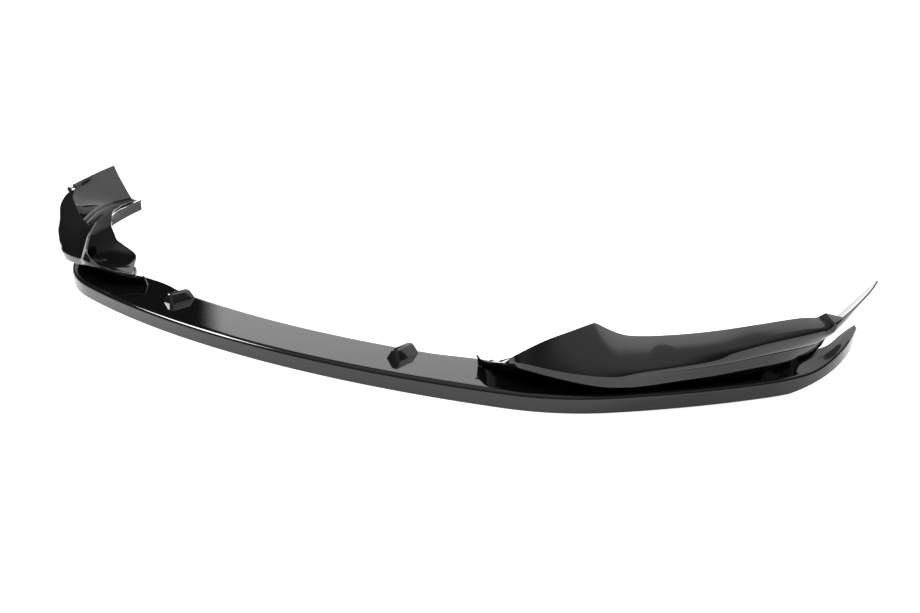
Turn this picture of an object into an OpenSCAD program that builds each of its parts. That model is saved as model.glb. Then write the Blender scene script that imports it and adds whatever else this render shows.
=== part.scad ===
// Front splitter lip: one moulded shell for the lower front edge of a car.
// A thin blade with a turned-down front band runs across the whole width, and a
// corner panel with a ledge at its foot, an inner shelf and a leaning side wall
// stands over each end of it. X runs across the car, the front looks along -Y,
// and Z = 0 is the bottom edge of the band.

/* [Wall] */
// Thickness of the moulded sheet
wall = 3; // [2.5:0.1:4]

/* [Plan of the front edge] */
// Radius of the nearly flat middle stretch
front_r = 1990; // [1700:10:2300]
// Heading at the end of the middle stretch, degrees
front_a = 13.7; // [12:0.1:15]
// Radius of the corner bend
corner_r = 364; // [320:1:420]
// Heading at the end of the corner bend, degrees
corner_a = 38.7; // [36:0.1:42]
// Radius of the long flank
flank_r = 1428; // [1300:1:1600]
// Heading at the end of the flank, degrees
flank_a = 49; // [46:0.1:52]
// Radius of the last bend
end_r = 318; // [290:1:350]
// Heading of the straight tail, degrees
end_a = 89.5; // [85:0.5:92]
// Length of the straight tail
tail_l = 18; // [10:1:30]

/* [Blade] */
// Height of the front band
band_h = 28; // [24:0.5:34]
// Radius of the band's upper edge
edge_r = 7; // [5:0.5:9]
// Depth of the blade's top sheet at the middle
blade_d = 118; // [100:1:140]
// Drop of the top sheet from the band to its back edge
blade_drop = 9; // [5:0.5:12]
// Inward reach of the fin at the blade's end
fin_d = 18; // [14:0.5:24]
// Inward reach of the blade at its tip
tip_d = 6; // [5:0.5:9]
// Height of the fin's free edge where it leaves the corner panel
fin_z = 46; // [40:0.5:50]
// Height of the tip's upper edge
tip_z = 60; // [54:1:68]
// Height of the tip's lower edge
tip_lift = 33; // [20:1:38]
// Height of the crease along the middle of the fin
fin_crease = 1.2; // [0.5:0.1:2]

/* [Corner panel] */
// Height of the free spike at the inner end of the ledge
spike_z = 42; // [38:0.5:46]
// Height of the low point where the panel's free edge starts to climb
low_z = 61; // [56:0.5:66]
// Height of the peak
peak_z = 120; // [110:1:130]
// Height of the valley behind the peak
valley_z = 104; // [98:1:110]
// Height of the shoulder at the panel's rear
shoulder_z = 133; // [126:1:140]
// Height of the ledge's lower edge at the corner bend
ledge_z = 44; // [41:0.5:48]
// Height of the ledge's face at the corner bend
ledge_h = 17; // [14:0.5:20]

/* [Side wall] */
// Height of the side wall's upper edge at its rear end
rear_z = 154; // [145:1:162]
// Outward lean of the side wall's upper edge past the band at its rear end
rear_out = 27; // [20:1:32]
// Width of the shelf that is left at the rear end
shelf_w = 12; // [9:0.5:18]
// Width of the step between the side wall and the shelf
step_w = 7; // [5:0.5:9]
// Height of the step between the side wall and the shelf
step_h = 4; // [2.5:0.5:6]
// Hollow of the side wall's rear end
rear_scoop = 4; // [0:0.5:8]

/* [Shelf flange] */
// Radius of the curl at the shelf's inner end
hook_r = 7; // [5:0.5:10]

/* [Nubs] */
// Distance of each nub from the middle
nub_x = 260; // [220:1:320]
// Width of a nub at its top
nub_w = 16; // [10:0.5:20]
// Length of a nub at its top
nub_l = 50; // [40:1:56]
// Height of a nub above the blade
nub_h = 18; // [12:0.5:22]
// Spread of a nub's foot past its top on each side
nub_flare = 6; // [3:0.5:9]
// Corner radius of a nub
nub_r = 4; // [2:0.25:5]
// Fall of a nub's top towards its rear end
nub_fall = 3; // [0:0.5:5]
// Distance of the nub's top from the front edge
nub_set = 60; // [54:1:66]

/* [Hidden] */

// Lengths along the front edge at which its arcs end
front_end = arc_length(front_r, front_a);
corner_end = front_end + arc_length(corner_r, corner_a - front_a);
flank_end = corner_end + arc_length(flank_r, flank_a - corner_a);
bend_end = flank_end + arc_length(end_r, end_a - flank_a);
lip_end = bend_end + tail_l;

// Plan points at which its arcs end
front_p = arc_from([0, 0], front_r, 0, front_a);
corner_p = arc_from(front_p, corner_r, front_a, corner_a);
flank_p = arc_from(corner_p, flank_r, corner_a, flank_a);
bend_p = arc_from(flank_p, end_r, flank_a, end_a);
depth = bend_p[1] + tail_l * sin(end_a);

// Steps of the lofted skins
blade_steps = 34;
corner_steps = 42;
shelf_steps = 30;
shelf_ribs = 3;

// Length of an arc of radius r that turns by a degrees
function arc_length(r, a) = r * a * PI / 180;

// End of an arc that starts at p and turns from heading a to heading b
function arc_from(p, r, a, b) = p + r * [sin(b) - sin(a), cos(a) - cos(b)];

// Turn of an arc of radius r after a length l
function turn(l, r) = l / r * 180 / PI;

// Heading of the front edge at the length s from the middle
function heading(s) =
    s < front_end ? turn(s, front_r)
    : s < corner_end ? front_a + turn(s - front_end, corner_r)
    : s < flank_end ? corner_a + turn(s - corner_end, flank_r)
    : s < bend_end ? flank_a + turn(s - flank_end, end_r)
    : end_a;

// Plan point of the front edge at the length s from the middle
function plan(s) =
    s < front_end ? arc_from([0, 0], front_r, 0, heading(s))
    : s < corner_end ? arc_from(front_p, corner_r, front_a, heading(s))
    : s < flank_end ? arc_from(corner_p, flank_r, corner_a, heading(s))
    : s < bend_end ? arc_from(flank_p, end_r, flank_a, heading(s))
    : bend_p + (s - bend_end) * [cos(end_a), sin(end_a)];

// Point at the length s along the edge, inset n inwards from it, at the height z
function place(s, n, z) =
    let (p = plan(abs(s)), a = heading(abs(s)))
    [sign(s + 0.000001) * (p[0] - n * sin(a)), p[1] + n * cos(a) - depth / 2, z];

function blend(a, b, t) = a + (b - a) * t;
function ramp(a, b, x) = let (t = max(0, min(1, (x - a) / (b - a)))) t * t * (3 - 2 * t);

// Smooth curve through a list of stations, at the parameter u in 0 .. len - 1, with
// a sharp turn at the low point and at both ends of the shoulder
sharp = [1, 11, 12];
function chord(p, i) = p[i + 1] - p[i];
function tangent(p, i, k) =
    i == 0 || i == len(p) - 1 || len([for (c = sharp) if (c == i) c]) > 0 ? chord(p, k)
    : (p[i + 1] - p[i - 1]) / 2;
function along(p, u) =
    let (i = max(0, min(len(p) - 2, floor(u))), t = u - i)
    (2 * t * t * t - 3 * t * t + 1) * p[i]
    + (t * t * t - 2 * t * t + t) * tangent(p, i, i)
    + (3 * t * t - 2 * t * t * t) * p[i + 1]
    + (t * t * t - t * t) * tangent(p, i + 1, i);

function unit(v) = v / max(norm(v), 0.000001);

// Normal of a grid of points at row i, column j
function grid_normal(g, i, j) =
    let (
        rows = len(g), cols = len(g[0]),
        du = g[min(rows - 1, i + 1)][j] - g[max(0, i - 1)][j],
        dv = g[i][min(cols - 1, j + 1)] - g[i][max(0, j - 1)])
    unit(cross(du, dv));

// Solid sheet whose front is a grid of points and whose thickness lies behind it
module sheet(g, thick) {
    rows = len(g);
    cols = len(g[0]);
    per = rows * cols;
    back = [for (i = [0:rows - 1]) for (j = [0:cols - 1])
        g[i][j] - thick * grid_normal(g, i, j)];
    front = [for (row = g) each row];
    function at(i, j) = i * cols + j;
    skin = [for (i = [0:rows - 2]) for (j = [0:cols - 2]) each [
        [at(i, j), at(i, j + 1), at(i + 1, j + 1)],
        [at(i, j), at(i + 1, j + 1), at(i + 1, j)],
        [per + at(i, j), per + at(i + 1, j + 1), per + at(i, j + 1)],
        [per + at(i, j), per + at(i + 1, j), per + at(i + 1, j + 1)]]];
    ends = [for (j = [0:cols - 2]) each [
        [at(0, j), per + at(0, j), at(0, j + 1)],
        [at(0, j + 1), per + at(0, j), per + at(0, j + 1)],
        [at(rows - 1, j), at(rows - 1, j + 1), per + at(rows - 1, j)],
        [at(rows - 1, j + 1), per + at(rows - 1, j + 1), per + at(rows - 1, j)]]];
    sides = [for (i = [0:rows - 2]) each [
        [at(i, 0), at(i + 1, 0), per + at(i, 0)],
        [at(i + 1, 0), per + at(i + 1, 0), per + at(i, 0)],
        [at(i, cols - 1), per + at(i, cols - 1), at(i + 1, cols - 1)],
        [at(i + 1, cols - 1), per + at(i, cols - 1), per + at(i + 1, cols - 1)]]];
    polyhedron(concat(front, back), concat(skin, ends, sides));
}

// Solid loft through closed sections that all have the same number of points, the
// second half of a section running back along its first half
module loft(sections) {
    rows = len(sections);
    cols = len(sections[0]);
    half = cols / 2;
    last = (rows - 1) * cols;
    function at(i, j) = i * cols + j % cols;
    skin = [for (i = [0:rows - 2]) for (j = [0:cols - 1]) each [
        [at(i, j), at(i, j + 1), at(i + 1, j + 1)],
        [at(i, j), at(i + 1, j + 1), at(i + 1, j)]]];
    caps = [for (j = [0:half - 2]) each [
        [j, cols - 2 - j, j + 1],
        [j, cols - 1 - j, cols - 2 - j],
        [last + j, last + j + 1, last + cols - 2 - j],
        [last + j, last + cols - 2 - j, last + cols - 1 - j]]];
    polyhedron([for (row = sections) each row], concat(skin, caps));
}

// Sizes of the blade's section at the length s from the middle: heights of the
// band's upper and lower edge and of the free back edge, and the inward reach
function blade_top(s) = blend(band_h, tip_z - 2, ramp(lip_end - 180, lip_end + 15, s));
function blade_low(s) = tip_lift * pow(max(0, (s - lip_end + 210) / 210), 1.15);
function blade_depth(s) =
    s < 860 ? blend(blade_d, fin_d + 16, ramp(380, 860, s))
    : s < lip_end - 70 ? blend(fin_d + 16, fin_d, ramp(860, 950, s))
    : blend(fin_d, tip_d, pow((s - lip_end + 70) / 70, 2));
function blade_back(s) =
    s < 950 ? blend(band_h - blade_drop * blade_depth(s) / blade_d, fin_z, ramp(840, 950, s))
    : blend(fin_z, tip_z, (s - 950) / (lip_end - 950));

// Middle line of the blade's section, from the band's lower edge to the free back edge
function blade_bend(s) = min(edge_r, max(wall + 0.5, blade_depth(s) / 3)) - wall / 2;
function blade_slope(s) = atan2(blade_back(s) - blade_top(s), blade_depth(s) - blade_bend(s));
function blade_start(s) = max(blade_low(s) + 4, blade_top(s) - wall / 2 - blade_bend(s) * cos(blade_slope(s)));
function blade_corner(s) = [
    wall / 2 + blade_bend(s) * (1 - sin(blade_slope(s))),
    blade_start(s) + blade_bend(s) * cos(blade_slope(s))];
function blade_line(s) =
    let (
        h = wall / 2, d = blade_depth(s), back = blade_back(s) - h, bend = blade_bend(s),
        slope = blade_slope(s), low = blade_low(s), start = blade_start(s), corner = blade_corner(s))
    concat(
        [[h, low], [h, blend(low, start, 0.5)]],
        [for (k = [0:4]) let (a = k / 4 * (90 - slope))
            [h + bend * (1 - cos(a)), start + bend * sin(a)]],
        [blend(corner, [d, back], 0.5) + [0, fin_crease * ramp(880, 980, s)], [d, back]]);

// Height of the middle of the blade's top sheet at the inset n
function blade_mid(s, n) =
    let (c = blade_corner(s))
    blend(c[1], blade_back(s) - wall / 2, (n - c[0]) / (blade_depth(s) - c[0]));

// Normal of a plane line at its point i
function line_normal(p, i) =
    let (d = unit(p[min(len(p) - 1, i + 1)] - p[max(0, i - 1)])) [-d[1], d[0]];

// Closed section of the sheet round its middle line
function thicken(p) = concat(
    [for (i = [0:len(p) - 1]) p[i] + wall / 2 * line_normal(p, i)],
    [for (i = [len(p) - 1:-1:0]) p[i] - wall / 2 * line_normal(p, i)]);

function blade_section(s) = [for (q = thicken(blade_line(abs(s)))) place(s, q[0], q[1])];

module blade() {
    loft([for (i = [-blade_steps:blade_steps])
        blade_section(lip_end * sign(i) * pow(abs(i) / blade_steps, 0.8))]);
}

// Guide curves of the corner panel and side wall, each station [s, inset, height]:
// spike, low point, two on the climb, peak, dip, valley, three on the flank, two ends
// of the shoulder's top, its outer corner, and the side wall's middle and rear end
top_line = [
    [405, 86, spike_z], [468, 25, low_z], [495, 15, blend(low_z, peak_z, 0.4)],
    [545, 34, blend(low_z, peak_z, 0.75)], [616, 58, peak_z], [655, 46, blend(valley_z, peak_z, 0.15)],
    [684, 38, valley_z], [738, 20, blend(valley_z, shoulder_z, 0.2)],
    [795, 6, blend(valley_z, shoulder_z, 0.45)], [848, -10, blend(valley_z, shoulder_z, 0.8)],
    [905, -18, shoulder_z], [936, -24, shoulder_z - 1], [943, -49, shoulder_z - 2],
    [1018, -34, blend(shoulder_z - 2, rear_z, 0.5)], [1089, -rear_out, rear_z]];
crease_line = [
    [404, 86, spike_z - 2], [466, 26, low_z - 3], [499, 28, ledge_z + ledge_h - 1],
    [540, 27, ledge_z + ledge_h - 0.5], [612, -12, ledge_z + ledge_h + 3], [650, -19, ledge_z + ledge_h + 4.5],
    [682, -19, ledge_z + ledge_h + 5.5], [738, -10, ledge_z + ledge_h + 6.5],
    [795, -1, ledge_z + ledge_h + 8], [848, 4, ledge_z + ledge_h + 11.5],
    [900, 8, ledge_z + ledge_h + 14], [930, 9, ledge_z + ledge_h + 15], [950, 9, ledge_z + ledge_h + 15],
    [1013, 12, ledge_z + ledge_h + 15], [1080, 28, ledge_z + ledge_h + 16]];
edge_line = [
    [406, 88, spike_z - 4], [463, 34, low_z - 5], [497, 39, ledge_z + 7],
    [540, 26, ledge_z + 5.5], [612, -8, ledge_z + 3], [652, -14, ledge_z + 2.5],
    [685, -12, ledge_z + 2.5], [738, -4, ledge_z + 2.5],
    [795, 2, ledge_z + 2.5], [848, 8, ledge_z + 3.5],
    [900, 11, ledge_z + 5], [930, 13, ledge_z + 5], [950, 15, ledge_z + 6],
    [1013, 18, ledge_z + 10], [1080, 31, ledge_z + 26]];
foot_line = [
    [408, 90, spike_z - 6], [464, 48, low_z - 14], [505, 77, band_h - 5],
    [545, 62, band_h - 5], [612, 36, band_h - 4], [652, 30, band_h - 4],
    [685, 29, band_h - 3], [738, 30, band_h - 3],
    [795, 30, band_h - 3], [848, 28, band_h],
    [900, 24, ledge_z - 3], [930, 25, ledge_z], [950, 26, ledge_z + 3],
    [1013, 28, ledge_z + 12], [1080, 36, ledge_z + 20]];
// Outward bulge of the panel between the crease and the top edge, and its profile,
// which grows fuller towards the rear
bulge = [0, 0, 3, 5, 11, 15, 21, 30, 36, 39, 39, 34, 18, 3, 0];

function bump(k, u) = 1 - pow(abs(2 * k - 1), blend(2, 3, ramp(4, 8, u)));

// Point of the corner panel at station parameter u and row v: the rows run from the
// foot past the ledge's lower edge, the ledge's face and the crease to the top edge
function panel_row(u, v) =
    let (
        g = along(foot_line, u), e = along(edge_line, u), c = along(crease_line, u),
        t = along(top_line, u), b = along(bulge, u),
        f = [g[0], g[1], blend(g[2], blade_mid(g[0], g[1]), ramp(1.2, 2, u) * (1 - ramp(9, 9.6, u)))])
    v < 2 ? blend(f, e, v / 2)
    : v < 4 ? blend(e, c, (v - 2) / 2)
    : let (k = (v - 4) / 6)
        blend(c, t, k) - [rear_scoop * sin(180 * k) * ramp(13, 14, u), b * bump(k, u), 0];

function panel_grid() = [for (i = [0:corner_steps])
    let (u = 14 * i / corner_steps)
    [for (v = [0, 2, 3, 4, 4.5, 5, 6, 7, 8, 9, 9.6, 10]) let (q = panel_row(u, v)) place(q[0], q[1], q[2])]];

// Back edge of the inner shelf, station by station with the panel's
shelf_back = [
    [425, 82, spike_z - 1], [446, 82, spike_z + 2], [480, 103, spike_z + 5],
    [535, 121, spike_z + 15], [590, 106, spike_z + 29], [625, 96, spike_z + 34],
    [693, 88, spike_z + 37], [745, 80, spike_z + 38],
    [797, 75, spike_z + 38], [873, 65, spike_z + 38],
    [925, 61, spike_z + 38], [947, 60, spike_z + 37], [965, 59, spike_z + 37],
    [1025, 50, spike_z + 35], [1080, 28 + 2 * wall + shelf_w, spike_z + 34]];

// Outer edge of the shelf's top, set into the panel's wall just under the crease
shelf_root = [for (i = [0:len(crease_line) - 1])
    i == 0 ? [409, 90, spike_z - 3.5]
    : i == 1 ? [465, 37, low_z - 3.7]
    : i == 2 ? [500, 33, ledge_z + ledge_h - 1.6]
    : crease_line[i] + [0, wall / 2, -wall / 2]];

function shelf_grid() = [for (i = [0:shelf_steps])
    let (
        u = blend(0.3, 14, i / shelf_steps), f = ramp(2, 6, u),
        s0 = along(shelf_root, u), b = along(shelf_back, u),
        s1 = s0 + [0, wall / 2 + f * step_w, 0],
        s2 = s1 + [0, 1 + f, -0.5 - f * step_h])
    [for (q = concat([s0, s1], [for (k = [0:shelf_ribs]) blend(s2, b, k / shelf_ribs)]))
        place(q[0], q[1], q[2])]];

module corner() {
    sheet(panel_grid(), wall);
    sheet(shelf_grid(), wall);
}

// Small web that stands up in the corner between the shoulder's turn and the side wall
module tab() {
    hull()
        for (q = [[936, -24, -1], [943, -30, 7], [943, -46, -2], [962, -41, 0]])
            translate(place(q[0], q[1], shoulder_z - wall / 2 + q[2]))
                sphere(d = wall, $fn = 8);
}

// Flange that curls down and in along the inner end of the shelf
module hook() {
    path = [for (a = [0:30:90]) [hook_r * sin(a), hook_r * (cos(a) - 1)]];
    for (k = [0:len(path) - 2])
        hull()
            for (e = [[440, 80.5, 1], [474, 98, 4.5]], q = [path[k], path[k + 1]])
                translate(place(e[0] - q[0], e[1], spike_z + e[2] - wall / 2 + q[1]))
                    sphere(d = wall, $fn = 8);
}

// Tapered box on the blade's top that locates the lip against the bumper
module nub() {
    foot = [nub_w + 2 * nub_flare, nub_l + 2 * nub_flare];
    top_z = band_h + nub_h - blade_drop * 0.6;
    translate([nub_x, plan(nub_x)[1] + nub_set - depth / 2, 0])
        hull() {
            for (x = [-1, 1]) for (y = [0, 1]) {
                translate([x * (nub_w / 2 - nub_r), y * nub_l + (1 - 2 * y) * nub_r, top_z - nub_r - y * nub_fall])
                    sphere(nub_r, $fn = 16);
                reach = blend(-nub_flare, nub_l + nub_flare, y) + (1 - 2 * y) * nub_r;
                translate([x * (foot[0] / 2 - nub_r), reach, blade_mid(nub_x, nub_set + reach)])
                    cylinder(h = wall / 4, r = nub_r, center = true, $fn = 16);
            }
        }
}

module splitter_lip() {
    color("#0c0c0d") union() {
        blade();
        for (side = [0, 1]) mirror([side, 0, 0]) {
            corner();
            tab();
            hook();
            nub();
        }
    }
}

splitter_lip();
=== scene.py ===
from math import atan2, cos, degrees, pi, radians, sin

import bmesh
import bpy
import numpy as np
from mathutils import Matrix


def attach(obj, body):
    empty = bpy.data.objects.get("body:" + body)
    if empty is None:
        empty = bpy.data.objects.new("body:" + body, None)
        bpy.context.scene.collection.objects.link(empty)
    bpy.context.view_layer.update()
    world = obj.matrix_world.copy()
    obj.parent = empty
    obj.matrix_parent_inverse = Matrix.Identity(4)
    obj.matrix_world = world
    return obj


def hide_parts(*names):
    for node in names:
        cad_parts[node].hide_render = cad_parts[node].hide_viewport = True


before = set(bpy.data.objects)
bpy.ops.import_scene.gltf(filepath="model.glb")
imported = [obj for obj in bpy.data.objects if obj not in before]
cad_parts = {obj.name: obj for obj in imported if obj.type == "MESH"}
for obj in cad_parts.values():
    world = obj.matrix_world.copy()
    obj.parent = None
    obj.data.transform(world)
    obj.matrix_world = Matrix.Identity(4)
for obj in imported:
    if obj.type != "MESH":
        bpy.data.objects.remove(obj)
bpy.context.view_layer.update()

# Sizes in millimetres and degrees, most of them as the solid has them. The front
# edge is a chain of arcs, each with a radius and the heading it ends at.
WALL = 3.0
FRONT_R, FRONT_A = 1990.0, 13.7
CORNER_R, CORNER_A = 364.0, 38.7
FLANK_R, FLANK_A = 1428.0, 49.0
END_R, END_A, TAIL = 318.0, 89.5, 18.0
BAND_H, EDGE_R, BLADE_D, BLADE_DROP = 28.0, 7.0, 118.0, 9.0
FIN_D, TIP_D, FIN_Z, TIP_Z, TIP_LIFT, FIN_CREASE = 18.0, 6.0, 46.0, 60.0, 33.0, 1.2
SPIKE_Z, LOW_Z, PEAK_Z, VALLEY_Z, SHOULDER_Z = 42.0, 61.0, 120.0, 104.0, 133.0
LEDGE_Z, LEDGE_H = 44.0, 17.0
REAR_Z, REAR_OUT, SHELF_W, STEP_W, STEP_H, REAR_SCOOP = 154.0, 27.0, 12.0, 7.0, 4.0, 4.0
HOOK_R = 9.5
NUB_X, NUB_SET, NUB_W, NUB_L, NUB_H = 260.0, 60.0, 16.0, 50.0, 18.0
NUB_FLARE, NUB_R, NUB_FALL = 6.0, 6.0, 3.0
# Rounding of rims and creases, and forms that the solid doesn't have
BAND_RIM_R, RIM_R = 0.9, 0.7
EDGE_FILLET, CREASE_FILLET, STEP_FILLET, INNER_FILLET = 2.0, 1.6, 1.2, 1.5
SPIKE_SAG, SPIKE_WIDEN, FIN_WIDEN, FLANK_WIDEN = 6.0, 8.0, 16.0, 20.0
SHARP_ANGLE, PEAK_SHARPNESS = 32, 0.15
# Points of the corner's web and ends of the curled flange: [length, inset, height
# from the shoulder or from the spike]
WEB = ([936, -24, -1], [943, -30, 6], [943, -47, -3], [962, -41, 0])
HOOK = ([438, 78, -4.5], [476, 101, 2.5])


def arc_from(p, r, a, b):
    """End of an arc of radius r from p, between the headings a and b."""
    a, b = radians(a), radians(b)
    return p + r * np.array([sin(b) - sin(a), cos(a) - cos(b)])


FRONT_END = FRONT_R * radians(FRONT_A)
CORNER_END = FRONT_END + CORNER_R * radians(CORNER_A - FRONT_A)
FLANK_END = CORNER_END + FLANK_R * radians(FLANK_A - CORNER_A)
BEND_END = FLANK_END + END_R * radians(END_A - FLANK_A)
LIP_END = BEND_END + TAIL
FRONT_P = arc_from(np.zeros(2), FRONT_R, 0, FRONT_A)
CORNER_P = arc_from(FRONT_P, CORNER_R, FRONT_A, CORNER_A)
FLANK_P = arc_from(CORNER_P, FLANK_R, CORNER_A, FLANK_A)
BEND_P = arc_from(FLANK_P, END_R, FLANK_A, END_A)
DEPTH = BEND_P[1] + TAIL * sin(radians(END_A))


def heading(s):
    """Heading in degrees at length s along the front edge."""
    if s < FRONT_END:
        return degrees(s / FRONT_R)
    if s < CORNER_END:
        return FRONT_A + degrees((s - FRONT_END) / CORNER_R)
    if s < FLANK_END:
        return CORNER_A + degrees((s - CORNER_END) / FLANK_R)
    if s < BEND_END:
        return FLANK_A + degrees((s - FLANK_END) / END_R)
    return END_A


def plan(s):
    """Point of the front edge in plan at length s."""
    if s < FRONT_END:
        return arc_from(np.zeros(2), FRONT_R, 0, heading(s))
    if s < CORNER_END:
        return arc_from(FRONT_P, CORNER_R, FRONT_A, heading(s))
    if s < FLANK_END:
        return arc_from(CORNER_P, FLANK_R, CORNER_A, heading(s))
    if s < BEND_END:
        return arc_from(FLANK_P, END_R, FLANK_A, heading(s))
    a = radians(END_A)
    return BEND_P + (s - BEND_END) * np.array([cos(a), sin(a)])


def place(s, n, z):
    """Point at length s along the front edge, n inwards from it and z up."""
    p, a = plan(abs(s)), radians(heading(abs(s)))
    side = 1 if s >= 0 else -1
    return np.array([side * (p[0] - n * sin(a)), p[1] + n * cos(a) - DEPTH / 2, z])


def blend(a, b, t):
    return a + (b - a) * t


def ramp(a, b, x):
    t = max(0.0, min(1.0, (x - a) / (b - a)))
    return t * t * (3 - 2 * t)


# Stations where the guide curves turn a corner, and the peak's station
SHARP, PEAK = (1, 11, 12), 4


def tangent(p, i, k):
    """Slope of the guide curve p at point i, as seen from the stretch that starts at k."""
    if i == 0 or i == len(p) - 1 or i in SHARP:
        return p[k + 1] - p[k]
    return (p[i + 1] - p[i - 1]) * (PEAK_SHARPNESS if i == PEAK and p is TOP else 0.5)


def along(p, u):
    """Point of the guide curve p at station u."""
    i = int(max(0, min(len(p) - 2, np.floor(u))))
    t = u - i
    return ((2 * t ** 3 - 3 * t * t + 1) * p[i] + (t ** 3 - 2 * t * t + t) * tangent(p, i, i)
            + (3 * t * t - 2 * t ** 3) * p[i + 1] + (t ** 3 - t * t) * tangent(p, i + 1, i))


def unit(v):
    return v / max(np.linalg.norm(v), 1e-9)


# The blade's section


def blade_top(s):
    """Height of the blade at its front edge."""
    return blend(BAND_H, TIP_Z - 2, ramp(LIP_END - 180, LIP_END + 15, s))


def blade_low(s):
    """Height of the band's bottom edge, which lifts towards the tip."""
    return TIP_LIFT * max(0.0, (s - LIP_END + 210) / 210) ** 1.15


def blade_depth(s):
    """Size of the blade from its front edge inwards."""
    if s < 860:
        widen = SPIKE_WIDEN * ramp(300, 400, s) * (1 - ramp(420, 600, s))
        return blend(BLADE_D, FIN_D + FLANK_WIDEN, ramp(380, 860, s)) + widen
    if s < LIP_END - 70:
        widen = blend(FLANK_WIDEN, FIN_WIDEN, ramp(860, 950, s)) - FIN_WIDEN * ramp(960, 1040, s)
        return FIN_D + widen
    return blend(FIN_D, TIP_D, ((s - LIP_END + 70) / 70) ** 2)


def blade_back(s):
    """Height of the blade at its inner edge."""
    if s < 950:
        return blend(BAND_H - BLADE_DROP * blade_depth(s) / BLADE_D, FIN_Z, ramp(840, 950, s))
    return blend(FIN_Z, TIP_Z, (s - 950) / (LIP_END - 950))


def blade_frame(s):
    """Bend radius, slope of the top, height where the bend starts and its inner end."""
    bend = min(EDGE_R, max(WALL + 0.5, blade_depth(s) / 3)) - WALL / 2
    slope = atan2(blade_back(s) - blade_top(s), blade_depth(s) - bend)
    start = max(blade_low(s) + 4, blade_top(s) - WALL / 2 - bend * cos(slope))
    corner = np.array([WALL / 2 + bend * (1 - sin(slope)), start + bend * cos(slope)])
    return bend, slope, start, corner


def blade_mid(s, n):
    """Height of the middle of the blade's top sheet, n inwards."""
    c = blade_frame(s)[3]
    return blend(c[1], blade_back(s) - WALL / 2, (n - c[0]) / (blade_depth(s) - c[0]))


def blade_line(s):
    """Middle line of the blade's section: band, bend and top sheet with its rib."""
    bend, slope, start, corner = blade_frame(s)
    h, low = WALL / 2, blade_low(s)
    end = np.array([blade_depth(s), blade_back(s) - h])
    face = [np.array([h, blend(low, start, t)]) for t in np.linspace(0, 0.96, 7)]
    arc = [np.array([h + bend * (1 - cos(a)), start + bend * sin(a)])
           for a in np.linspace(0, pi / 2 - slope, 15)]
    lift = FIN_CREASE * ramp(880, 980, s)
    top = [blend(corner, end, t) + np.array([0, lift * max(0.0, 1 - abs(2 * t - 1) * 1.25)])
           for t in np.linspace(0.06, 1, 17)]
    return np.array(face + arc + top)


def section(line, wall, r):
    """Closed outline of a sheet round its middle line, with its free edges rounded by r."""
    d = np.gradient(line, axis=0)
    d /= np.linalg.norm(d, axis=1)[:, None]
    nor = np.stack([-d[:, 1], d[:, 0]], 1)
    out = [line[i] + wall / 2 * nor[i] for i in range(len(line))]
    back = [line[i] - wall / 2 * nor[i] for i in range(len(line))][::-1]

    def turn(c, along_dir, side_dir):
        pts = []
        for a in np.linspace(0, pi, 9)[1:-1]:
            k, m = cos(a), sin(a)
            x = np.sign(k) * (wall / 2 - r) + r * k
            pts.append(c + x * side_dir + (r * m - r) * along_dir)
        return pts

    out[0] = out[0] + r * d[0]
    back[-1] = back[-1] + r * d[0]
    out[-1] = out[-1] - r * d[-1]
    back[0] = back[0] - r * d[-1]
    return np.array(out + turn(line[-1], d[-1], nor[-1]) + back + turn(line[0], -d[0], -nor[0]))


def loft(sections):
    """Vertices and faces of a skin through closed sections, with its ends closed."""
    rows, cols = len(sections), len(sections[0])
    verts = np.concatenate(sections)
    faces = []
    for i in range(rows - 1):
        for j in range(cols):
            k = (j + 1) % cols
            faces.append((i * cols + j, i * cols + k, (i + 1) * cols + k, (i + 1) * cols + j))
    faces.append(tuple(range(cols))[::-1])
    faces.append(tuple((rows - 1) * cols + j for j in range(cols)))
    return verts, faces


def blade_mesh():
    """Blade and front band from tip to tip."""
    half = np.concatenate([np.linspace(0, 380, 40), np.linspace(380, 900, 80)[1:],
                           np.linspace(900, LIP_END, 60)[1:]])
    stations = np.concatenate([-half[:0:-1], half])
    rows = []
    for s in stations:
        outline = section(blade_line(abs(s)), WALL, BAND_RIM_R)
        rows.append(np.array([place(s, q[0], q[1]) for q in outline]))
    return loft(rows)


# Guide curves of the corner, station by station: [length, inset, height]
TOP = np.array([
    [405, 86, SPIKE_Z], [468, 25, LOW_Z], [495, 15, blend(LOW_Z, PEAK_Z, 0.4)],
    [545, 34, blend(LOW_Z, PEAK_Z, 0.75)], [616, 58, PEAK_Z], [655, 46, blend(VALLEY_Z, PEAK_Z, 0.15)],
    [684, 38, VALLEY_Z], [738, 20, blend(VALLEY_Z, SHOULDER_Z, 0.2)],
    [795, 6, blend(VALLEY_Z, SHOULDER_Z, 0.45)], [848, -10, blend(VALLEY_Z, SHOULDER_Z, 0.8)],
    [905, -18, SHOULDER_Z], [936, -24, SHOULDER_Z - 1], [943, -49, SHOULDER_Z - 2],
    [1018, -34, blend(SHOULDER_Z - 2, REAR_Z, 0.5)], [1089, -REAR_OUT, REAR_Z]])
TURN = LEDGE_Z + LEDGE_H
CREASE = np.array([
    [404, 86, SPIKE_Z - 2], [466, 26, LOW_Z - 3], [499, 8, TURN + 10.5],
    [540, 12, TURN + 2.5], [612, -12, TURN + 3], [650, -19, TURN + 4.5],
    [682, -19, TURN + 5.5], [738, -10, TURN + 6.5],
    [795, -1, TURN + 8], [848, 4, TURN + 11.5],
    [900, 8, TURN + 14], [930, 9, TURN + 15], [950, 9, TURN + 15],
    [1013, 12, TURN + 15], [1080, 28, TURN + 16]])
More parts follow.
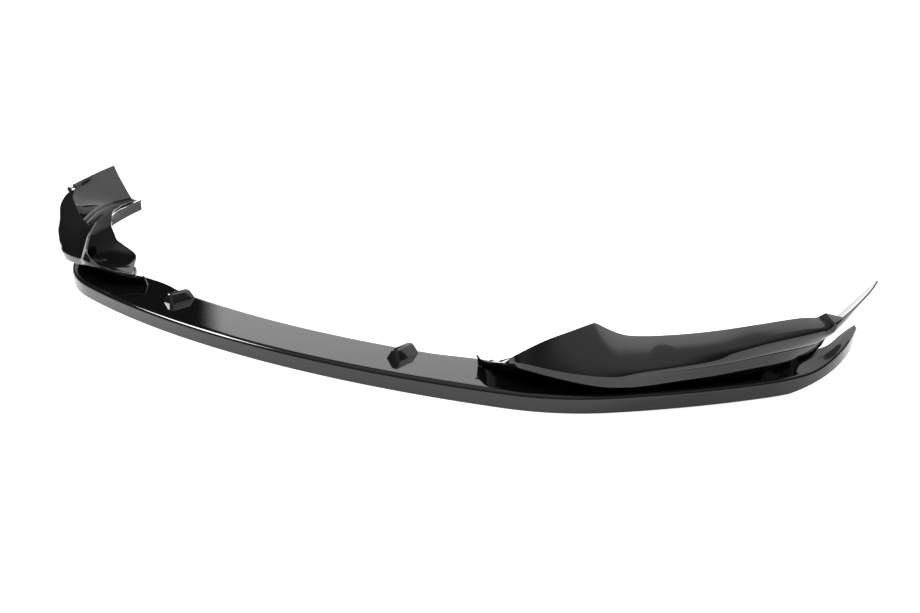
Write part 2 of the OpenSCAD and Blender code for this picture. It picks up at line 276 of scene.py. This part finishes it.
EDGE = np.array([
    [406, 88, SPIKE_Z - 4], [463, 31, LOW_Z - 5.5], [497, 12, LEDGE_Z + 17],
    [540, 14, LEDGE_Z + 7.5], [612, -8, LEDGE_Z + 3], [652, -14, LEDGE_Z + 2.5],
    [685, -12, LEDGE_Z + 2.5], [738, -4, LEDGE_Z + 2.5],
    [795, 2, LEDGE_Z + 2.5], [848, 8, LEDGE_Z + 3.5],
    [900, 11, LEDGE_Z + 5], [930, 13, LEDGE_Z + 5], [950, 15, LEDGE_Z + 6],
    [1013, 18, LEDGE_Z + 10], [1080, 31, LEDGE_Z + 26]])
FOOT = np.array([
    [405, 92, BAND_H - 6], [464, 66, BAND_H - 6], [505, 77, BAND_H - 5],
    [545, 62, BAND_H - 5], [612, 36, BAND_H - 4], [652, 30, BAND_H - 4],
    [685, 29, BAND_H - 3], [738, 30, BAND_H - 3],
    [795, 30, BAND_H - 3], [848, 28, BAND_H],
    [900, 24, LEDGE_Z - 3], [930, 25, LEDGE_Z], [950, 26, LEDGE_Z + 3],
    [1013, 28, LEDGE_Z + 12], [1080, 36, LEDGE_Z + 20]])
BULGE = np.array([0, 0, 0, 1, 10, 15, 22, 32, 37, 37, 36, 32, 17, 3, 0.0])
SHELF = np.array([
    [425, 82, SPIKE_Z - 1], [446, 82, SPIKE_Z - 4], [480, 103, SPIKE_Z + 4],
    [535, 121, SPIKE_Z + 15], [590, 106, SPIKE_Z + 29], [625, 96, SPIKE_Z + 34],
    [693, 88, SPIKE_Z + 37], [745, 80, SPIKE_Z + 38],
    [797, 75, SPIKE_Z + 38], [873, 65, SPIKE_Z + 38],
    [925, 61, SPIKE_Z + 38], [947, 60, SPIKE_Z + 37], [965, 59, SPIKE_Z + 37],
    [1025, 50, SPIKE_Z + 35], [1080, 28 + 2 * WALL + SHELF_W, SPIKE_Z + 34]])
ROOT = CREASE + np.array([0, WALL / 2, -WALL / 2])
ROOT[0] = [409, 90, SPIKE_Z - 3.5]
ROOT[1] = [465, 37, LOW_Z - 5]


def bump(k, u):
    """Share of the bulge at k of the way up the panel."""
    return 1 - abs(2 * k - 1) ** blend(2, 3, ramp(4, 8, u))


def spike_sag(u):
    """How far the spike's edge hangs at station u."""
    return SPIKE_SAG * sin(pi * u ** 0.6) if u < 1 else 0.0


def grid_normals(grid):
    """Unit normals of a sheet given as rows of points."""
    du, dv = np.zeros_like(grid), np.zeros_like(grid)
    du[1:-1] = grid[2:] - grid[:-2]
    du[0], du[-1] = grid[1] - grid[0], grid[-1] - grid[-2]
    dv[:, 1:-1] = grid[:, 2:] - grid[:, :-2]
    dv[:, 0], dv[:, -1] = grid[:, 1] - grid[:, 0], grid[:, -1] - grid[:, -2]
    nor = np.cross(du, dv)
    return nor / np.maximum(np.linalg.norm(nor, axis=2), 1e-9)[..., None]


def rounded_rim(edge, n, d, start, count):
    """Points round a sheet's edge; n is its normal there and d points out of it."""
    first = [edge - RIM_R * (1 - cos(a)) * n - RIM_R * (1 - sin(a)) * d
             for a in np.linspace(start, pi / 2, count)]
    last = [edge - (WALL - RIM_R * (1 + cos(a))) * n - RIM_R * (1 - sin(a)) * d
            for a in np.linspace(pi / 2, pi - start, count)]
    return np.array(first + last)


def fillet(a, b, c, r, count=5):
    """Points of a small rounded turn at b between a and c."""
    la, lc = np.linalg.norm(a - b), np.linalg.norm(c - b)
    d = min(r, 0.35 * la, 0.35 * lc)
    p, q = b + unit(a - b) * d, b + unit(c - b) * d
    return [(1 - t) ** 2 * p + 2 * t * (1 - t) * b + t * t * q for t in np.linspace(0, 1, count)]


def panel_line(u):
    """Outer points of the panel's section at u, from the foot to the top edge."""
    g, e, c, t, b = (along(guide, u) for guide in (FOOT, EDGE, CREASE, TOP, BULGE))
    sag = np.array([0, 0, spike_sag(u)])
    e, c, t = e - sag, c - sag, t - sag
    f = np.array([g[0], g[1], blend(g[2], blade_mid(g[0], g[1]), 1 - ramp(11.4, 12.6, u))])

    def face(k):
        p = blend(c, t, k)
        return p - np.array([REAR_SCOOP * sin(pi * k) * ramp(13, 14, u), b * bump(k, u), 0])

    height = np.linalg.norm(t - c)
    ks = np.linspace(0, 1, 31)[1:] * (1 - min(0.3, 0.7 / height))
    first = min(0.3, 2.2 / height)
    ks = first + (ks - ks[0]) / (ks[-1] - ks[0]) * (ks[-1] - first)
    pts = [blend(f, e, k) for k in np.linspace(0, 0.85, 6)]
    pts += fillet(f, e, c, EDGE_FILLET)
    pts += [blend(e, c, k) for k in (0.4, 0.5, 0.6)]
    pts += fillet(e, c, face(min(0.35, 4 / height)), CREASE_FILLET)
    pts += [face(k) for k in ks]
    return [place(*p) for p in pts], place(*t)


def corner_mesh():
    """Corner panel and side wall as one sheet from the foot to the free edge."""
    us = np.concatenate([np.linspace(i, i + 1, 15)[:-1] for i in range(14)] + [[14.0]])
    grid, tops = [], []
    for u in us:
        pts, top = panel_line(u)
        grid.append(pts)
        tops.append(top)
    grid, tops = np.array(grid), np.array(tops)
    nor = grid_normals(grid)
    back = grid - WALL * nor
    rows = []
    for i in range(len(us)):
        rim = rounded_rim(tops[i], nor[i, -1], unit(tops[i] - grid[i, -1]), 0, 4)
        rows.append(np.concatenate([grid[i], rim, back[i][::-1]]))
    return loft(rows)


def shelf_mesh():
    """Inner shelf behind the corner panel, with the step at its root."""
    us = np.concatenate([[0.3], np.linspace(0.4, 14, 190)])
    grid = []
    for u in us:
        f = ramp(2, 6, u)
        s0, b = along(ROOT, u) - np.array([0, 0, spike_sag(u)]), along(SHELF, u)
        s1 = s0 + np.array([0, WALL / 2 + f * STEP_W, 0])
        s2 = s1 + np.array([0, 1 + f, -0.5 - f * STEP_H])
        line = [s0] + fillet(s0, s1, s2, STEP_FILLET, 4) + fillet(s1, s2, b, INNER_FILLET, 4)
        line += [blend(s2, b, k) for k in np.linspace(0.12, 1, 9)]
        grid.append([place(*q) for q in line])
    grid = np.array(grid)
    nor = grid_normals(grid)
    back = grid - WALL * nor
    rows = []
    for i in range(len(us)):
        d = unit(grid[i, -1] - grid[i, -2])
        rim = rounded_rim(grid[i, -1], nor[i, -1], d, 0.4, 3)
        front, rear = grid[i].copy(), back[i].copy()
        front[-1] -= RIM_R * d
        rear[-1] -= RIM_R * d
        rows.append(np.concatenate([front, rim, rear[::-1]]))
    return loft(rows)


def hull_mesh(points):
    """Convex form round a set of points, as vertices and faces."""
    bm = bmesh.new()
    for p in points:
        bm.verts.new(p)
    res = bmesh.ops.convex_hull(bm, input=bm.verts)
    inner = [v for v in res["geom_interior"] if isinstance(v, bmesh.types.BMVert)]
    bmesh.ops.delete(bm, geom=inner, context="VERTS")
    bmesh.ops.dissolve_limit(bm, angle_limit=radians(1), verts=bm.verts, edges=bm.edges)
    bm.verts.index_update()
    verts = np.array([v.co[:] for v in bm.verts])
    faces = [tuple(v.index for v in f.verts) for f in bm.faces]
    bm.free()
    return verts, faces


def ball(c, r, n=12):
    """Points of a sphere."""
    pts = []
    for i in range(n + 1):
        a = pi * i / n
        ring = 1 if i in (0, n) else 2 * n
        for j in range(ring):
            b = 2 * pi * j / ring
            pts.append(c + r * np.array([sin(a) * cos(b), sin(a) * sin(b), cos(a)]))
    return pts


def nub_mesh():
    """Locating nub on the blade, a block with flared sides and rounded edges."""
    top_z = BAND_H + NUB_H - BLADE_DROP * 0.6
    base = np.array([NUB_X, plan(NUB_X)[1] + NUB_SET - DEPTH / 2, 0])
    pts = []
    for x in (-1, 1):
        for y in (0, 1):
            inset = (1 - 2 * y) * NUB_R
            pts += ball(base + np.array([x * (NUB_W / 2 - NUB_R), y * NUB_L + inset,
                                         top_z - NUB_R - y * NUB_FALL]), NUB_R)
            reach = blend(-NUB_FLARE, NUB_L + NUB_FLARE, y) + inset
            foot = base + np.array([x * (NUB_W / 2 + NUB_FLARE - NUB_R), reach,
                                    blade_mid(NUB_X, NUB_SET + reach)])
            for j in range(24):
                b = 2 * pi * j / 24
                pts.append(foot + np.array([NUB_R * cos(b), NUB_R * sin(b), 0]))
    return hull_mesh(pts)


def tab_mesh():
    """Web in the corner between the shoulder and the side wall."""
    pts = []
    for q in WEB:
        pts += ball(place(q[0], q[1], SHOULDER_Z - WALL / 2 + q[2]), WALL / 2, 8)
    return hull_mesh(pts)


def hook_mesh():
    """Curled flange at the shelf's inner end."""
    curl = np.array([(HOOK_R * sin(a), HOOK_R * (cos(a) - 1)) for a in np.linspace(0, pi / 2, 10)])
    outline = section(curl, WALL, WALL / 2 - 0.01)
    rows = []
    for t in np.linspace(0, 1, 20):
        e = blend(np.array(HOOK[0]), np.array(HOOK[1]), t)
        rows.append(np.array([place(e[0] - q[0], e[1], SPIKE_Z + e[2] - WALL / 2 + q[1])
                              for q in outline]))
    return loft(rows)


def mirrored(part):
    """The same part on the other side."""
    verts, faces = part
    flipped = verts * np.array([-1, 1, 1])
    return flipped, [f[::-1] for f in faces]


def build(name, parts):
    """One smooth object from lists of vertices and faces in millimetres."""
    verts, faces, base = [], [], 0
    for v, f in parts:
        verts.append(v)
        faces += [tuple(i + base for i in face) for face in f]
        base += len(v)
    me = bpy.data.meshes.new(name)
    me.from_pydata((np.concatenate(verts) * 0.001).tolist(), [], faces)
    bm = bmesh.new()
    bm.from_mesh(me)
    bmesh.ops.recalc_face_normals(bm, faces=bm.faces)
    bm.to_mesh(me)
    bm.free()
    me.validate()
    me.shade_smooth()
    me.set_sharp_from_angle(angle=radians(SHARP_ANGLE))
    obj = bpy.data.objects.new(name, me)
    bpy.context.scene.collection.objects.link(obj)
    return obj


def gloss_black():
    mat = bpy.data.materials.new("gloss_black_plastic")
    mat.use_nodes = True
    nt = mat.node_tree
    nt.nodes.clear()
    out = nt.nodes.new("ShaderNodeOutputMaterial")
    bsdf = nt.nodes.new("ShaderNodeBsdfPrincipled")
    nt.links.new(bsdf.outputs["BSDF"], out.inputs["Surface"])
    bsdf.inputs["IOR"].default_value = 1.5
    coord = nt.nodes.new("ShaderNodeTexCoord")

    def noise(scale, detail=4.0, rough=0.5):
        n = nt.nodes.new("ShaderNodeTexNoise")
        n.inputs["Scale"].default_value = scale
        n.inputs["Detail"].default_value = detail
        n.inputs["Roughness"].default_value = rough
        nt.links.new(coord.outputs["Object"], n.inputs["Vector"])
        return n

    def ramp_node(source, lo, hi, a, b):
        r = nt.nodes.new("ShaderNodeMapRange")
        r.inputs["From Min"].default_value = lo
        r.inputs["From Max"].default_value = hi
        r.inputs["To Min"].default_value = a
        r.inputs["To Max"].default_value = b
        nt.links.new(source, r.inputs["Value"])
        return r

    # colour: deep black with a faint cloudiness of the moulding
    cloud = noise(9.0, 3.0)
    tint = nt.nodes.new("ShaderNodeMix")
    tint.data_type = "RGBA"
    tint.inputs["A"].default_value = (0.0030, 0.0030, 0.0033, 1)
    tint.inputs["B"].default_value = (0.0048, 0.0048, 0.0052, 1)
    nt.links.new(cloud.outputs["Fac"], tint.inputs["Factor"])
    nt.links.new(tint.outputs["Result"], bsdf.inputs["Base Color"])
    # roughness: polished, with a wipe haze and fine dust
    haze = noise(24.0, 5.0, 0.6)
    rough = ramp_node(haze.outputs["Fac"], 0.3, 0.75, 0.035, 0.08)
    dust = noise(900.0, 2.0, 0.5)
    speck = ramp_node(dust.outputs["Fac"], 0.66, 0.8, 0.0, 0.10)
    add = nt.nodes.new("ShaderNodeMath")
    add.operation = "ADD"
    nt.links.new(rough.outputs["Result"], add.inputs[0])
    nt.links.new(speck.outputs["Result"], add.inputs[1])
    nt.links.new(add.outputs["Value"], bsdf.inputs["Roughness"])
    # relief: orange peel of the lacquer and the slow waviness of a thin moulded sheet
    peel = noise(420.0, 2.0, 0.4)
    wave = noise(7.0, 1.0, 0.3)
    b1 = nt.nodes.new("ShaderNodeBump")
    b1.inputs["Strength"].default_value = 0.06
    b1.inputs["Distance"].default_value = 0.00006
    nt.links.new(peel.outputs["Fac"], b1.inputs["Height"])
    b2 = nt.nodes.new("ShaderNodeBump")
    b2.inputs["Strength"].default_value = 0.25
    b2.inputs["Distance"].default_value = 0.0012
    nt.links.new(wave.outputs["Fac"], b2.inputs["Height"])
    nt.links.new(b1.outputs["Normal"], b2.inputs["Normal"])
    nt.links.new(b2.outputs["Normal"], bsdf.inputs["Normal"])
    return mat


black = gloss_black()
parts = [blade_mesh()]
for piece in (corner_mesh(), shelf_mesh(), nub_mesh(), tab_mesh(), hook_mesh()):
    parts += [piece, mirrored(piece)]
lip = build("splitter_lip_shell", parts)
lip.data.materials.append(black)
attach(lip, "root")
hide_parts("splitter_lip")


# Floor, light and camera, in metres and degrees. The floor glows a little, as a
# lit studio sheet does, and lies a hair under the part.
FLOOR_HALF, FLOOR_GAP, FLOOR_GLOW = 90.0, 0.0005, 0.85
ROOM_LOW, ROOM_HIGH = 0.10, 0.78
BACKDROP_LOW, BACKDROP_HIGH, BACKDROP_TOP = 1.15, 1.9, 0.45
BACKDROP_RIGHT, BACKDROP_LEFT, EDGE_SOFT = 26.0, 135.8, 0.8
LEFT_SHADE, LEFT_SHADE_MORE = 0.75, 0.17
BOX_LEFT, BOX_RIGHT, BOX_LOW, BOX_HIGH, BOX_LIGHT = -179.9, -148.0, 33.0, 45.0, 24.0
CAMERA_PLACE = (1.04615, -1.26138, 0.58579)
CAMERA_TURN, CAMERA_PITCH, CAMERA_ROLL = 31.676, 19.579, -0.1
PHOTO_W, FOCAL, SENSOR_W = 920, 900, 36


def pale_floor():
    """Matt near-white that glows a little."""
    mat = bpy.data.materials.new("pale_floor")
    mat.use_nodes = True
    b = mat.node_tree.nodes["Principled BSDF"]
    b.inputs["Base Color"].default_value = (0.88, 0.88, 0.88, 1)
    b.inputs["Roughness"].default_value = 0.9
    b.inputs["Specular IOR Level"].default_value = 0.2
    b.inputs["Emission Color"].default_value = (1, 1, 1, 1)
    b.inputs["Emission Strength"].default_value = FLOOR_GLOW
    return mat


me = bpy.data.meshes.new("floor")
me.from_pydata([(x * FLOOR_HALF, y * FLOOR_HALF, 0) for x, y in ((-1, -1), (1, -1), (1, 1), (-1, 1))],
               [], [(0, 1, 2, 3)])
floor = bpy.data.objects.new("floor", me)
floor.location.z = -FLOOR_GAP
bpy.context.scene.collection.objects.link(floor)
floor.data.materials.append(pale_floor())

# Studio round the part: a white backdrop behind, a dim room in front that grows
# brighter towards the ceiling and darker on its left, and one soft box
world = bpy.data.worlds.new("studio")
world.use_nodes = True
bpy.context.scene.world = world
wt = world.node_tree
wt.nodes.clear()
w_out = wt.nodes.new("ShaderNodeOutputWorld")
w_bg = wt.nodes.new("ShaderNodeBackground")
wt.links.new(w_bg.outputs["Background"], w_out.inputs["Surface"])
w_dir = wt.nodes.new("ShaderNodeTexCoord")
w_xyz = wt.nodes.new("ShaderNodeSeparateXYZ")
wt.links.new(w_dir.outputs["Generated"], w_xyz.inputs["Vector"])


def calc(op, a, b=0.0):
    """One number worked out from one or two others."""
    n = wt.nodes.new("ShaderNodeMath")
    n.operation = op
    for i, v in enumerate((a, b)):
        if isinstance(v, (int, float)):
            n.inputs[i].default_value = v
        else:
            wt.links.new(v, n.inputs[i])
    return n.outputs["Value"]


def step(v, lo, hi, a=0.0, b=1.0):
    """Smooth step of v from a at lo to b at hi."""
    n = wt.nodes.new("ShaderNodeMapRange")
    n.interpolation_type = "SMOOTHSTEP"
    for k, x in (("From Min", lo), ("From Max", hi), ("To Min", a), ("To Max", b)):
        n.inputs[k].default_value = x
    wt.links.new(v, n.inputs["Value"])
    return n.outputs["Result"]


azimuth = calc("DEGREES", calc("ARCTAN2", w_xyz.outputs["Y"], w_xyz.outputs["X"]))
height = calc("DEGREES", calc("ARCSINE", w_xyz.outputs["Z"]))


def window(v, lo, hi, soft):
    """One between lo and hi, nothing outside, with soft edges."""
    return calc("MULTIPLY", step(v, lo - soft, lo + soft), step(v, hi - soft, hi + soft, 1.0, 0.0))


def mix(a, b, share):
    """From a to b by a share between nothing and one."""
    kept = calc("MULTIPLY", a, calc("SUBTRACT", 1.0, share))
    return calc("ADD", kept, calc("MULTIPLY", b, share))


room = step(height, 5.0, 70.0, ROOM_LOW, ROOM_HIGH)
backdrop = calc("MULTIPLY", step(height, 5.0, 50.0, BACKDROP_LOW, BACKDROP_HIGH),
                step(height, 60.0, 80.0, 1.0, BACKDROP_TOP))
# the backdrop's left edge leans inwards with height, its right edge outwards
lean = calc("MULTIPLY", step(height, 15.5, 22.0, 0.0, 15.0), step(azimuth, 90.0, 110.0))
left_edge = step(calc("ADD", azimuth, lean), BACKDROP_LEFT - EDGE_SOFT, BACKDROP_LEFT + EDGE_SOFT, 1.0, 0.0)
spread = step(height, 30.0, 40.0, 24.0, 0.0)
right_edge = step(calc("SUBTRACT", azimuth, spread), BACKDROP_RIGHT - EDGE_SOFT, BACKDROP_RIGHT + EDGE_SOFT)
behind = calc("MULTIPLY", right_edge, left_edge)
# the room's left is darker, most of all beside the backdrop
left_side = calc("MAXIMUM", step(azimuth, 112.0, 116.0), step(azimuth, -178.0, -140.0, 1.0, 0.0))
left_dark = calc("MULTIPLY", left_side, step(height, 40.0, 65.0, 1.0, 0.0))
shade = calc("ADD", LEFT_SHADE, calc("MULTIPLY", window(azimuth, 110.0, 147.0, 2.0), LEFT_SHADE_MORE))
room_light = calc("MULTIPLY", room, calc("SUBTRACT", 1.0, calc("MULTIPLY", left_dark, shade)))
left_box = calc("MULTIPLY", window(azimuth, BOX_LEFT, BOX_RIGHT, EDGE_SOFT),
                window(height, BOX_LOW, BOX_HIGH, EDGE_SOFT))
light = calc("ADD", mix(room_light, backdrop, behind), calc("MULTIPLY", left_box, BOX_LIGHT))
wt.links.new(light, w_bg.inputs["Color"])

cam = bpy.data.cameras.new("camera")
cam.sensor_width = SENSOR_W
cam.lens = SENSOR_W * FOCAL / PHOTO_W
cam.clip_end = 200
camera = bpy.data.objects.new("camera", cam)
camera.location = CAMERA_PLACE
camera.rotation_euler = (radians(90 - CAMERA_PITCH), radians(CAMERA_ROLL), radians(CAMERA_TURN))
bpy.context.scene.collection.objects.link(camera)
bpy.context.scene.camera = camera
bpy.context.scene.view_settings.view_transform = "Standard"
